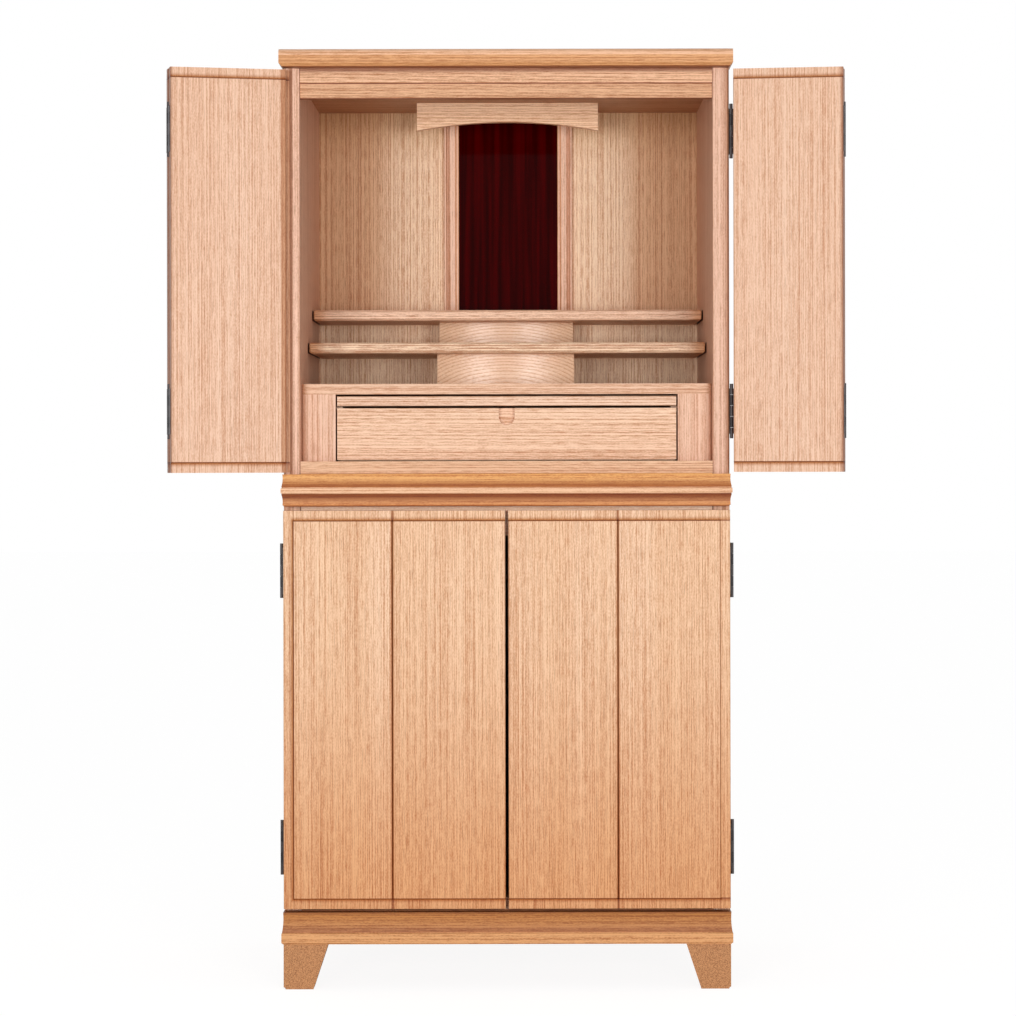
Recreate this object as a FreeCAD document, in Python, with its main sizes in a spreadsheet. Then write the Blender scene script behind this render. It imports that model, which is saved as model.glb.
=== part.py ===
import FreeCAD, Part
import math
import os
import Sketcher

# A floor-standing home altar in light ash: a cupboard with two hinged doors on four
# splayed feet, and on it an open shrine cabinet with folding doors, three steps, a
# curved pedestal, a pull-out tray and a drawer. Millimetres, +Z up, the front towards
# -Y, the origin on the floor in the middle of the whole outline with its doors open.

# Driving dimensions: name, value, and what it is.
SIZES = [
    ("carcass_width", 572, "outside width of both cabinets"),
    ("carcass_depth", 415, "depth of the side boards"),
    ("side_thick", 21, "thickness of the side boards"),
    ("side_round", 3, "round on a side board's outer front edge"),
    ("side_ease", 1, "round on a side board's inner front edge"),
    ("foot_height", 57.5, "floor to the base moulding"),
    ("foot_top", 57, "foot width at its top"),
    ("foot_toe", 38, "foot width at the floor"),
    ("foot_inset", 2.7, "foot behind the outline of the base moulding"),
    ("foot_round", 2.5, "round on a foot's outer toe"),
    ("base_height", 40.5, "height of the base moulding"),
    ("base_nosing", 15, "flat band at the bottom of the base moulding"),
    ("lower_height", 518, "height of the lower side boards"),
    ("waist_height", 41, "height of the waist moulding"),
    ("waist_slope", 16.5, "hollow upper part of the waist moulding"),
    ("waist_nosing", 9, "flat band in the waist moulding"),
    ("upper_height", 520.5, "height of the upper side boards"),
    ("crown_thick", 22.5, "thickness of the crown board"),
    ("crown_chamfer", 4.5, "chamfer under the crown board"),
    ("crown_lip", 7, "round along the crown board's top front edge"),
    ("overhang_side", 4, "crown past the side boards"),
    ("moulding_overhang", 2.2, "mouldings past the side boards"),
    ("overhang_front", 25, "crown and mouldings in front of the side boards"),
    ("moulding_run", 2.2, "how far a moulding's cove steps back in all"),
    ("moulding_fillet", 0.8, "step between a moulding's band and its cove"),
    ("moulding_hollow", 0.9, "depth of a moulding's cove"),
    ("moulding_round", 1.5, "round on the edges of a moulding's band"),
    ("moulding_thick", 20, "thickness of a moulding's rail"),
    ("board_thick", 16.5, "bottom boards and top board"),
    ("back_thick", 9, "back panels"),
    ("back_inset", 6, "back panels in front of the side boards' rear edge"),
    ("ceiling_thick", 15.5, "board over the altar space"),
    ("rail_height", 19, "each of the two front rails under the crown"),
    ("rail_thick", 18, "front rails' thickness"),
    ("rail_setback", 4, "lower front rail behind the upper one"),
    ("bay_height", 86.5, "drawer bay, between the bottom board and the altar floor"),
    ("bay_setback", 30, "drawer bay and altar floor behind the side boards' front"),
    ("post_width", 44, "width of the posts beside the drawer"),
    ("bay_post", 18, "depth of the posts beside the drawer"),
    ("bay_wall", 12, "thickness of the walls behind the posts"),
    ("floor_thick", 13.5, "altar floor"),
    ("floor_round", 6.5, "round on the altar floor's front corners and the posts' outer edges"),
    ("step_thick", 14, "thickness of the two step boards"),
    ("step_gap", 1.9, "gap between a step board's end and the side board"),
    ("step_round", 2.5, "round on a step board's front corners"),
    ("middle_step_rise", 57.7, "top of the middle step above the altar floor"),
    ("upper_step_rise", 47, "top of the upper step above the middle one"),
    ("middle_step_depth", 248, "middle step from the back panel to its front edge"),
    ("upper_step_depth", 160, "upper step from the back panel to its front edge"),
    ("step_chamfer", 2, "bevel along a step's front edge"),
    ("pedestal_width", 184, "width of the curved pedestal blocks"),
    ("pedestal_offset", 2.5, "pedestal blocks left of the middle"),
    ("pedestal_bulge", 16, "how far a pedestal's front bulges"),
    ("lower_pedestal_depth", 188, "lower pedestal block at its sides"),
    ("upper_pedestal_depth", 75, "upper pedestal block at its sides"),
    ("shrine_width", 178, "outside width of the frame round the dark panel"),
    ("shrine_strip", 20, "width of each frame strip"),
    ("shrine_strip_thick", 10, "thickness of the frame strips"),
    ("shrine_bead", 6, "beaded part of a frame strip"),
    ("shrine_groove", 1.4, "depth and half width of the beads' grooves"),
    ("lacquer_thick", 4, "dark panel between the strips"),
    ("valance_width", 247, "arched valance"),
    ("valance_end", 37.3, "valance height at its ends"),
    ("valance_middle", 25.8, "valance height in the middle"),
    ("valance_thick", 15, "valance thickness"),
    ("valance_depth", 130, "valance front face from the back panel"),
    ("tray_thick", 12.5, "pull-out tray"),
    ("tray_back_space", 50, "free space behind the pull-out tray"),
    ("tray_gap_top", 2.5, "gap over the tray"),
    ("tray_gap_side", 2, "gap at each end of the tray and the drawer"),
    ("runner_height", 8, "tray runner strips"),
    ("runner_width", 8, "tray runner strips"),
    ("runner_gap", 0.3, "running gap of the tray and the drawer"),
    ("drawer_lip_gap", 2, "under the drawer front"),
    ("drawer_gap", 3, "gap between the tray and the drawer front"),
    ("drawer_front_thick", 18, "drawer front"),
    ("drawer_side_thick", 10, "drawer sides and back"),
    ("drawer_bottom_thick", 5, "drawer bottom"),
    ("drawer_back_space", 40, "free space behind the drawer"),
    ("drawer_side_gap", 3, "drawer side to the bay wall"),
    ("notch_width", 20.5, "finger notch in the drawer front"),
    ("notch_height", 22, "finger notch in the drawer front"),
    ("notch_depth", 9, "finger notch in the drawer front"),
    ("notch_round", 9.5, "rise of the finger notch's round bottom"),
    ("door_thick", 20, "thickness of every door"),
    ("door_back_gap", 2.4, "gap behind a door, its hinge's axis in the middle"),
    ("door_edge_inset", 0.5, "door edge inside the side board's face"),
    ("lower_door_top_gap", 5.5, "over the lower doors"),
    ("lower_door_bottom_gap", 4, "under the lower doors"),
    ("meeting_gap", 4, "between the two lower doors"),
    ("rim_width", 13.5, "lower rim round a door's field, its cove included"),
    ("rim_depth", 3.5, "how far the rim lies behind the field"),
    ("rim_cove", 3.2, "cove between rim and field"),
    ("rim_ease", 1.5, "round on the rim's outer edge"),
    ("door_round", 2.5, "round on a door's plain front edges"),
    ("seam_width", 0.8, "groove between a door's two boards"),
    ("seam_depth", 5.5, "groove between a door's two boards"),
    ("seam_round", 1.8, "round on the edges of that groove"),
    ("left_door_board", 139.5, "left door from its hinged edge to its groove"),
    ("right_door_board", 143.5, "right door from its hinged edge to its groove"),
    ("leaf_top_gap", 3.3, "folding doors below the crown"),
    ("leaf_bottom_gap", 2.2, "folding doors above the waist moulding"),
    ("leaf_meeting", 4, "right pair's meeting edge from the middle, when closed"),
    ("leaf_difference", 1.5, "outer leaf, on the cabinet, wider than the inner one"),
    ("leaf_gap", 0.5, "between the two pairs when closed"),
    ("tongue_width", 6, "tongue on the left pair's meeting edge, behind the right pair"),
    ("tongue_setback", 9, "tongue behind the face of its leaf"),
    ("tongue_relief", 3, "tongue in front of the back of its leaf"),
    ("tongue_round", 3, "round on the tongue's corners"),
    ("relief_width", 6, "how far the relief behind the tongue runs into the leaf"),
    ("tongue_gap", 0.5, "round the tongue in the right pair's rebate"),
    ("left_door_tilt", 13.5, "left pair short of fully open, in degrees"),
    ("right_door_tilt", 8.5, "right pair short of fully open, in degrees"),
    ("fold_bevel", 3.5, "bevel that makes room for the folding hinge's barrel"),
    ("hinge_height", 70, "height of each butt hinge"),
    ("hinge_plate", 1, "thickness of a hinge plate"),
    ("hinge_wing", 12, "width of a hinge plate"),
    ("hinge_wing_inset", 6, "ends of a hinge plate inside the ends of its barrel"),
    ("barrel_radius", 2.2, "hinge barrel"),
    ("pin_radius", 1.2, "hinge pin"),
    ("pin_clearance", 0.06, "round the pin in a moving knuckle"),
    ("knuckle_gap", 0.3, "between two knuckles"),
    ("upper_hinge_inset", 43, "end of a folding door to its nearer hinge"),
    ("lower_hinge_inset", 42, "end of a lower door to its nearer hinge"),
]

KNUCKLES = 5        # knuckles on each hinge, the odd ones on the cabinet side
PIN_SIDES = 8       # sides of a hinge pin and of its bore, which the knuckles hide
KNUCKLE_SIDES = 20  # sides of a knuckle
QUARTER = 1 - math.sqrt(0.5)    # rise of a quarter round over its chord, for a radius of 1


class Length:
    """A size with its number and the spreadsheet expression behind it."""

    def __init__(self, number, text):
        self.number = number
        self.text = text

    @staticmethod
    def of(value):
        return value if isinstance(value, Length) else Length(float(value), repr(float(value)))

    def join(self, other, sign, number):
        return Length(number, "(" + self.text + " " + sign + " " + other.text + ")")

    def __add__(self, other):
        other = Length.of(other)
        return self.join(other, "+", self.number + other.number)

    def __sub__(self, other):
        other = Length.of(other)
        return self.join(other, "-", self.number - other.number)

    def __mul__(self, other):
        other = Length.of(other)
        return self.join(other, "*", self.number * other.number)

    def __truediv__(self, other):
        other = Length.of(other)
        return self.join(other, "/", self.number / other.number)

    def __radd__(self, other):
        return Length.of(other) + self

    def __rsub__(self, other):
        return Length.of(other) - self

    def __rmul__(self, other):
        return Length.of(other) * self

    def __neg__(self):
        return Length(-self.number, "(-1 * " + self.text + ")")


def sine(angle):
    return Length(math.sin(math.radians(angle.number)), "sin(" + angle.text + " * 1 deg)")


def cosine(angle):
    return Length(math.cos(math.radians(angle.number)), "cos(" + angle.text + " * 1 deg)")


doc = FreeCAD.newDocument("home_altar")
sheet = doc.addObject("Spreadsheet::Sheet", "Sizes")
for row, (alias, value, note) in enumerate(SIZES, start=1):
    sheet.set("A" + str(row), note)
    sheet.set("B" + str(row), str(value))
    sheet.setAlias("B" + str(row), alias)
doc.recompute()


def size(alias):
    """The size in the sheet's cell of that name."""
    return Length(float(sheet.get(alias)), "Sizes." + alias)


nodes = []


def bind(thing, values):
    """Bind properties of an object to sheet expressions."""
    for prop, value in values.items():
        thing.setExpression(prop, Length.of(value).text)


def place(thing, x, y, z):
    """Bind an object's position."""
    bind(thing, {".Placement.Base.x": x, ".Placement.Base.y": y, ".Placement.Base.z": z})


def keep(thing, label):
    """Name a finished piece and list it for export."""
    thing.Label = label
    nodes.append(thing)
    return thing


def box(name, low, high):
    """A plain box between two corners."""
    made = doc.addObject("Part::Box", name)
    bind(made, {"Length": high[0] - low[0], "Width": high[1] - low[1], "Height": high[2] - low[2]})
    place(made, *low)
    return made


def board(label, low, high):
    """A plain board between two corners, as a finished piece."""
    return keep(box(label + "_board", low, high), label)


def new_body(label, x, y, z):
    """An empty body whose own origin lies at the given point."""
    body = doc.addObject("PartDesign::Body", label + "_body")
    place(body, x, y, z)
    return body


def plane_of(body, role):
    return [item for item in body.Origin.OriginFeatures if item.Role == role][0]


def outline(body, name, role, corners, offset=None):
    """A closed sketch through the corners, each bound to the sheet. A corner's third number,
    if it has one, is the rise of a round stretch from it to the next corner, to the left of
    the direction of travel where it is positive. offset lifts the sketch off its plane."""
    sketch = body.newObject("Sketcher::SketchObject", name)
    sketch.AttachmentSupport = [(plane_of(body, role), "")]
    sketch.MapMode = "FlatFace"
    if offset is not None:
        bind(sketch, {".AttachmentOffset.Base.z": offset})
    arcs = {index: Length.of(corner[2]) for index, corner in enumerate(corners)
            if len(corner) > 2}
    points = [(Length.of(corner[0]), Length.of(corner[1])) for corner in corners]
    vectors = [FreeCAD.Vector(across.number, along.number, 0) for across, along in points]
    starts = []
    for index, start in enumerate(vectors):
        end = vectors[(index + 1) % len(vectors)]
        if index in arcs:
            chord = end - start
            left = FreeCAD.Vector(-chord.y, chord.x, 0).normalize()
            middle = (start + end) * 0.5 + left * arcs[index].number
            sketch.addGeometry(Part.Arc(start, middle, end))
        else:
            sketch.addGeometry(Part.LineSegment(start, end))
        first = sketch.getPoint(index, 1)
        starts.append(1 if first.distanceToPoint(start) < first.distanceToPoint(end) else 2)
    for index, (across, along) in enumerate(points):
        previous = (index - 1) % len(points)
        sketch.addConstraint(Sketcher.Constraint(
            "Coincident", previous, 3 - starts[previous], index, starts[index]))
        pin_point(sketch, index, starts[index], across, along)
    for index, rise in arcs.items():
        start, end = points[index], points[(index + 1) % len(points)]
        across, along = end[0] - start[0], end[1] - start[1]
        height = rise if rise.number > 0 else -rise
        radius = (across * across + along * along) / (8 * height) + height / 2
        number = sketch.addConstraint(Sketcher.Constraint("Radius", index, radius.number))
        sketch.setExpression("Constraints[" + str(number) + "]", radius.text)
    return sketch


def pin_point(sketch, edge, end, across, along):
    """Fix one end of a sketch edge at a bound distance from the sketch's origin."""
    for kind, value in (("DistanceX", across), ("DistanceY", along)):
        number = sketch.addConstraint(Sketcher.Constraint(kind, -1, 1, edge, end, value.number))
        sketch.setExpression("Constraints[" + str(number) + "]", value.text)


def rectangle(low, high):
    """Corners of a rectangle in a sketch's own plane, anticlockwise."""
    return [low, (high[0], low[1]), high, (low[0], high[1])]


def pad(body, sketch, length, reverse=False):
    made = body.newObject("PartDesign::Pad", sketch.Name + "_pad")
    made.Profile = sketch
    made.Reversed = reverse
    bind(made, {"Length": length})
    doc.recompute()
    return made


def pocket(body, sketch, length, reverse=False):
    made = body.newObject("PartDesign::Pocket", sketch.Name + "_pocket")
    made.Profile = sketch
    made.Reversed = reverse
    bind(made, {"Length": length})
    doc.recompute()
    return made


def edges_where(feature, test):
    """Names of a feature's edges whose middle point passes the test."""
    found = []
    for number, edge in enumerate(feature.Shape.Edges, start=1):
        middle = edge.valueAt((edge.FirstParameter + edge.LastParameter) / 2)
        if test(middle, edge):
            found.append("Edge" + str(number))
    return found


def round_edges(body, feature, test, radius):
    made = body.newObject("PartDesign::Fillet", feature.Name + "_round")
    made.Base = (feature, edges_where(feature, test))
    bind(made, {"Radius": radius})
    doc.recompute()
    return made


def bevel_edges(body, feature, test, width):
    made = body.newObject("PartDesign::Chamfer", feature.Name + "_bevel")
    made.Base = (feature, edges_where(feature, test))
    bind(made, {"Size": width})
    doc.recompute()
    return made


def near(value, target):
    return abs(value - Length.of(target).number) < 0.01


def group(label, members):
    """Several solids of one kind in one node."""
    made = doc.addObject("Part::Compound", label + "_set")
    made.Links = members
    return keep(made, label)


# Places that the sizes give: half widths, levels from the floor up, and depths from
# the side boards' front edges, which lie at front.
half = size("carcass_width") / 2
inner_half = half - size("side_thick")
base_bottom = size("foot_height")
base_top = base_bottom + size("base_height")
waist_bottom = base_top + size("lower_height")
waist_top = waist_bottom + size("waist_height")
crown_bottom = waist_top + size("upper_height")
half_gap = size("door_back_gap") / 2
edge_from_axis = size("barrel_radius") + size("knuckle_gap") + size("door_edge_inset")
outer_leaf = (half - size("door_edge_inset") - size("leaf_meeting") + size("leaf_difference")) / 2
inner_leaf = outer_leaf - size("leaf_difference")
fold_from_axis = edge_from_axis + outer_leaf
door_reach = (half_gap + fold_from_axis * sine(size("left_door_tilt"))
              + (half_gap + size("door_thick")) * cosine(size("left_door_tilt")))
front = (door_reach - size("carcass_depth")) / 2
back = front + size("carcass_depth")
back_panel_front = back - size("back_inset") - size("back_thick")
moulding_front = front - size("overhang_front")
crown_half = half + size("overhang_side")
moulding_half = half + size("moulding_overhang")

# Feet: each tapers on its two inner sides.


def foot(name, side, depth_side, corner_y):
    """A splayed foot under one corner of the base moulding: its front outline, cut from the
    side to the same taper."""
    x = side * (moulding_half - size("foot_inset"))
    body = new_body(name, x, corner_y, base_bottom)
    top, toe, toe_round = size("foot_top"), size("foot_toe"), size("foot_round")
    face = outline(body, name + "_face", "XZ_Plane", [
        (0, 0), (-side * top, 0), (-side * toe, -base_bottom),
        (-side * toe_round, -base_bottom, side * QUARTER * toe_round),
        (0, toe_round - base_bottom)])
    pad(body, face, top, reverse=depth_side > 0)
    waste = outline(body, name + "_taper", "YZ_Plane", [
        (depth_side * top, 0), (depth_side * toe, -base_bottom),
        (depth_side * (top + toe), -base_bottom), (depth_side * (top + toe), 0)])
    pocket(body, waste, top, reverse=side < 0)
    return body


front_foot_y = moulding_front + size("foot_inset")
rear_foot_y = back - size("foot_inset")
group("feet", [foot("front_left_foot", -1, 1, front_foot_y),
               foot("front_right_foot", 1, 1, front_foot_y),
               foot("rear_left_foot", -1, -1, rear_foot_y),
               foot("rear_right_foot", 1, -1, rear_foot_y)])

# Mouldings: a shaped rail, mitred round the front and both sides.


def moulding(label, bottom, profile):
    """Sweep a profile from the rear left corner round the front to the rear right."""
    body = new_body(label, -half, back, bottom)
    depth = size("carcass_depth") + size("overhang_front") - size("moulding_overhang")
    width = size("carcass_width")
    path = body.newObject("Sketcher::SketchObject", label + "_path")
    path.AttachmentSupport = [(plane_of(body, "XY_Plane"), "")]
    path.MapMode = "FlatFace"
    stops = [(Length.of(0), Length.of(0)), (Length.of(0), -depth), (width, -depth),
             (width, Length.of(0))]
    for index in range(3):
        start, end = stops[index], stops[index + 1]
        path.addGeometry(Part.LineSegment(
            FreeCAD.Vector(start[0].number, start[1].number, 0),
            FreeCAD.Vector(end[0].number, end[1].number, 0)))
        if index > 0:
            path.addConstraint(Sketcher.Constraint("Coincident", index - 1, 2, index, 1))
        pin_point(path, index, 1, *start)
    pin_point(path, 2, 2, *stops[3])
    section = outline(body, label + "_section", "XZ_Plane", profile)
    pipe = body.newObject("PartDesign::AdditivePipe", label + "_pipe")
    pipe.Profile = section
    pipe.Spine = (path, ["Edge1", "Edge2", "Edge3"])
    pipe.Transition = "Right corner"
    doc.recompute()
    return keep(body, label)


nose = -size("moulding_overhang")
nose_round = size("moulding_round")
hollow = size("moulding_hollow")
cove_far = nose + size("moulding_run")
cove_near = nose + size("moulding_fillet")
inside = nose + size("moulding_thick")
base_height, base_nosing = size("base_height"), size("base_nosing")
corner_rise = -QUARTER * nose_round
moulding("base_moulding", base_bottom, [
    (inside, 0), (inside, base_height), (cove_far, base_height, hollow), (cove_near, base_nosing),
    (nose + nose_round, base_nosing, -corner_rise), (nose, base_nosing - nose_round),
    (nose, nose_round, -corner_rise), (nose + nose_round, 0)])
waist_height = size("waist_height")
nose_top = waist_height - size("waist_slope")
nose_bottom = nose_top - size("waist_nosing")
moulding("waist_moulding", waist_bottom, [
    (inside, 0), (inside, waist_height), (cove_far, waist_height, hollow), (cove_near, nose_top),
    (nose + nose_round, nose_top, -corner_rise), (nose, nose_top - nose_round),
    (nose, nose_bottom + nose_round, -corner_rise), (nose + nose_round, nose_bottom),
    (cove_near, nose_bottom, hollow), (cove_far, nose_round, -corner_rise),
    (cove_far + nose_round, 0)])
ring_half = half - inside
ring_front = moulding_front + size("moulding_thick")
waist_hollow = waist_bottom + size("board_thick")
group("back_rails", [
    box("base_rail", (-ring_half, back - size("rail_thick"), base_bottom),
        (ring_half, back, base_top)),
    box("waist_rail", (-ring_half, back - size("rail_thick"), waist_hollow),
        (ring_half, back, waist_top))])

# Lower cabinet: two sides, bottom, back, front rail and the top board in the waist.


def side_board(label, side, bottom, height):
    """An upright side board with its front edges rounded, the outer one more."""
    body = new_body(label, side * half, front, bottom)
    thick, outer, inner = size("side_thick"), size("side_round"), size("side_ease")
    corners = [(0, size("carcass_depth")), (0, outer, side * QUARTER * outer), (-side * outer, 0),
               (-side * (thick - inner), 0, side * QUARTER * inner), (-side * thick, inner),
               (-side * thick, size("carcass_depth"))]
    pad(body, outline(body, label + "_outline", "XY_Plane", corners), height)
    return keep(body, label)


side_board("lower_side_left", -1, base_top, size("lower_height"))
side_board("lower_side_right", 1, base_top, size("lower_height"))
board("lower_bottom", (-inner_half, front, base_top),
      (inner_half, back_panel_front, base_top + size("board_thick")))
board("lower_back", (-inner_half, back_panel_front, base_top),
      (inner_half, back_panel_front + size("back_thick"), waist_bottom))
board("lower_front_rail", (-inner_half, front, waist_bottom - 2 * size("rail_height")),
      (inner_half, front + size("rail_thick"), waist_bottom))
board("lower_top", (-ring_half, ring_front, waist_bottom),
      (ring_half, back, waist_hollow))

# Upper cabinet: two sides, bottom, ceiling, back and the two front rails.
bay_bottom = waist_top + size("board_thick")
floor_bottom = bay_bottom + size("bay_height")
floor_top = floor_bottom + size("floor_thick")
ceiling = crown_bottom - size("ceiling_thick")
rail_bottom = crown_bottom - size("rail_height")
bay_front = front + size("bay_setback")
side_board("upper_side_left", -1, waist_top, size("upper_height"))
side_board("upper_side_right", 1, waist_top, size("upper_height"))
board("upper_bottom", (-inner_half, front, waist_top), (inner_half, back_panel_front, bay_bottom))
board("upper_back", (-inner_half, back_panel_front, waist_top),
      (inner_half, back_panel_front + size("back_thick"), crown_bottom))
board("ceiling", (-inner_half, front + size("rail_thick"), ceiling),
      (inner_half, back_panel_front, crown_bottom))
board("upper_front_rail", (-inner_half, front, rail_bottom),
      (inner_half, front + size("rail_thick"), crown_bottom))
board("lower_lintel", (-inner_half, front + size("rail_setback"), rail_bottom - size("rail_height")),
      (inner_half, front + size("rail_setback") + size("rail_thick"), rail_bottom))

# Crown: one board, chamfered under its front and side edges, its top front edge round.
crown = new_body("crown", -crown_half, moulding_front, crown_bottom)
crown_depth = size("carcass_depth") + size("overhang_front")
crown_plate = pad(crown, outline(crown, "crown_outline", "XY_Plane",
                                 rectangle((0, 0), (2 * crown_half, crown_depth))),
                  size("crown_thick"))
crown_under = bevel_edges(
    crown, crown_plate,
    lambda middle, edge: near(middle.z, 0) and not near(middle.y, crown_depth),
    size("crown_chamfer"))
round_edges(crown, crown_under,
            lambda middle, edge: near(middle.z, size("crown_thick")) and near(middle.y, 0),
            size("crown_lip"))
keep(crown, "crown_board")

# Altar floor, steps and the curved pedestal blocks that carry the steps.


def front_board(label, half_width, front_y, back_y, bottom, thick, edge_round, bevel):
    """A board with its front corners rounded and its front edges bevelled."""
    body = new_body(label, -half_width, front_y, bottom)
    plate = pad(body, outline(body, label + "_outline", "XY_Plane",
                              rectangle((0, 0), (2 * half_width, back_y - front_y))), thick)
    if edge_round is not None:
        plate = round_edges(
            body, plate,
            lambda middle, edge: near(middle.y, 0) and near(middle.z, thick / 2), edge_round)
    if bevel is not None:
        bevel_edges(body, plate,
                    lambda middle, edge: near(middle.y, 0) and not near(middle.z, thick / 2),
                    bevel)
    return keep(body, label)


front_board("altar_floor", inner_half, bay_front, back_panel_front, floor_bottom,
            size("floor_thick"), size("floor_round"), None)
step_half = inner_half - size("step_gap")
middle_top = floor_top + size("middle_step_rise")
upper_top = middle_top + size("upper_step_rise")
front_board("middle_step", step_half, back_panel_front - size("middle_step_depth"),
            back_panel_front, middle_top - size("step_thick"), size("step_thick"),
            size("step_round"),
            size("step_chamfer"))
front_board("upper_step", step_half, back_panel_front - size("upper_step_depth"),
            back_panel_front, upper_top - size("step_thick"), size("step_thick"),
            size("step_round"),
            size("step_chamfer"))


def pedestal(label, depth, bottom, top):
    """A block with a bulging front, from the back panel forwards."""
    width = size("pedestal_width")
    body = new_body(label, -width / 2 - size("pedestal_offset"), back_panel_front, bottom)
    sketch = outline(body, label + "_outline", "XY_Plane",
                     [(width, 0), (0, 0), (0, -depth, -size("pedestal_bulge")),
                      (width, -depth)])
    pad(body, sketch, top - bottom)
    return keep(body, label)


pedestal("lower_pedestal", size("lower_pedestal_depth"), floor_top,
         middle_top - size("step_thick"))
pedestal("upper_pedestal", size("upper_pedestal_depth"), middle_top,
         upper_top - size("step_thick"))

# The frame round the dark lacquered panel behind the steps.


def shrine_strip(name, side):
    """A strip with two beads along its outer edge."""
    outer = side * size("shrine_width") / 2
    body = new_body(name, outer, back_panel_front, upper_top)
    thick, groove, bead = size("shrine_strip_thick"), size("shrine_groove"), size("shrine_bead")
    corners = [(0, 0), (0, -thick)]
    for middle in (bead / 2, bead):
        corners += [(-side * (middle - groove), -thick), (-side * middle, groove - thick),
                    (-side * (middle + groove), -thick)]
    corners += [(-side * size("shrine_strip"), -thick), (-side * size("shrine_strip"), 0)]
    pad(body, outline(body, name + "_outline", "XY_Plane", corners), ceiling - upper_top)
    return body


group("shrine_strips", [shrine_strip("left_strip", -1), shrine_strip("right_strip", 1)])
lacquer_half = size("shrine_width") / 2 - size("shrine_strip")
board("lacquer_panel", (-lacquer_half, back_panel_front - size("lacquer_thick"), upper_top),
      (lacquer_half, back_panel_front, ceiling))

# The arched valance under the ceiling.
valance_width = size("valance_width")
valance = new_body("valance", -valance_width / 2,
                   back_panel_front - size("valance_depth") + size("valance_thick"),
                   ceiling - size("valance_end"))
valance_end = size("valance_end")
pad(valance, outline(valance, "valance_outline", "XZ_Plane",
                     [(0, 0, valance_end - size("valance_middle")), (valance_width, 0),
                      (valance_width, valance_end), (0, valance_end)]),
    size("valance_thick"))
keep(valance, "valance")

# Drawer bay: a post and a wall on each side, with a runner strip for the tray.
bay_half = inner_half - size("post_width")


def bay_side(label, side):
    """The post beside the drawer and the wall behind it, an L seen from above."""
    body = new_body(label, side * bay_half, bay_front, bay_bottom)
    post, wall = size("bay_post"), size("bay_wall")
    length = back_panel_front - bay_front
    reach = size("post_width")
    outer = size("floor_round")
    corners = [(0, 0), (side * (reach - outer), 0, -side * QUARTER * outer),
               (side * reach, outer), (side * reach, post), (side * wall, post),
               (side * wall, length), (0, length)]
    pad(body, outline(body, label + "_outline", "XY_Plane", corners), size("bay_height"))
    return keep(body, label)


bay_side("bay_side_left", -1)
bay_side("bay_side_right", 1)
tray_top = floor_bottom - size("tray_gap_top")
tray_bottom = tray_top - size("tray_thick")
runner_top = tray_bottom - size("runner_gap")
runner_front = bay_front + size("drawer_front_thick") + size("drawer_gap")
runner_low = runner_top - size("runner_height")
group("tray_runners", [
    box("left_runner", (-bay_half, runner_front, runner_low),
        (size("runner_width") - bay_half, back_panel_front, runner_top)),
    box("right_runner", (bay_half - size("runner_width"), runner_front, runner_low),
        (bay_half, back_panel_front, runner_top))])

# Pull-out tray.
tray_half = bay_half - size("tray_gap_side")
front_board("pull_out_tray", tray_half, bay_front, back_panel_front - size("tray_back_space"),
            tray_bottom,
            size("tray_thick"), None, size("step_chamfer") / 2)

# Drawer: a front with a finger notch, two sides, a back and a bottom.
drawer_bottom = bay_bottom + size("runner_gap")
drawer_top = tray_bottom - size("drawer_gap")
drawer_front_bottom = bay_bottom + size("drawer_lip_gap")
drawer_height = drawer_top - drawer_front_bottom
drawer_face = new_body("drawer_face", -tray_half, bay_front + size("drawer_front_thick"),
                       drawer_front_bottom)
drawer_plate = pad(drawer_face, outline(drawer_face, "drawer_outline", "XZ_Plane",
                                        rectangle((0, 0), (2 * tray_half, drawer_height))),
                   size("drawer_front_thick"))
notch_half = size("notch_width") / 2
notch_shoulder = drawer_height - size("notch_height") + size("notch_round")
pocket(drawer_face, outline(
    drawer_face, "notch_outline", "XZ_Plane",
    [(tray_half - notch_half, notch_shoulder, -size("notch_round")),
     (tray_half + notch_half, notch_shoulder), (tray_half + notch_half, drawer_height),
     (tray_half - notch_half, drawer_height)],
    offset=size("drawer_front_thick")), size("notch_depth"))
keep(drawer_face, "drawer_front")
drawer_half = bay_half - size("drawer_side_gap")
drawer_side = size("drawer_side_thick")
drawer_back = back_panel_front - size("drawer_back_space")
drawer_front_back = bay_front + size("drawer_front_thick")
drawer_side_top = runner_low - size("drawer_gap")
group("drawer_sides", [
    box("drawer_left", (-drawer_half, drawer_front_back, drawer_bottom),
        (drawer_side - drawer_half, drawer_back, drawer_side_top)),
    box("drawer_right", (drawer_half - drawer_side, drawer_front_back, drawer_bottom),
        (drawer_half, drawer_back, drawer_side_top))])
board("drawer_back", (drawer_side - drawer_half, drawer_back - drawer_side, drawer_bottom),
      (drawer_half - drawer_side, drawer_back, drawer_side_top))
board("drawer_bottom", (drawer_side - drawer_half, drawer_front_back, drawer_bottom),
      (drawer_half - drawer_side, drawer_back - drawer_side,
       drawer_bottom + size("drawer_bottom_thick")))

# Doors: a proud field with a lower rim, the hinged ones with a groove down the middle.
door_thick = size("door_thick")
rim, rim_depth, cove = size("rim_width"), size("rim_depth"), size("rim_cove")
door_round, rim_ease = size("door_round"), size("rim_ease")
seam_half, seam_round = size("seam_width") / 2, size("seam_round")
rim_level = door_thick - rim_depth
fold_bevel = size("fold_bevel")


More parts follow.
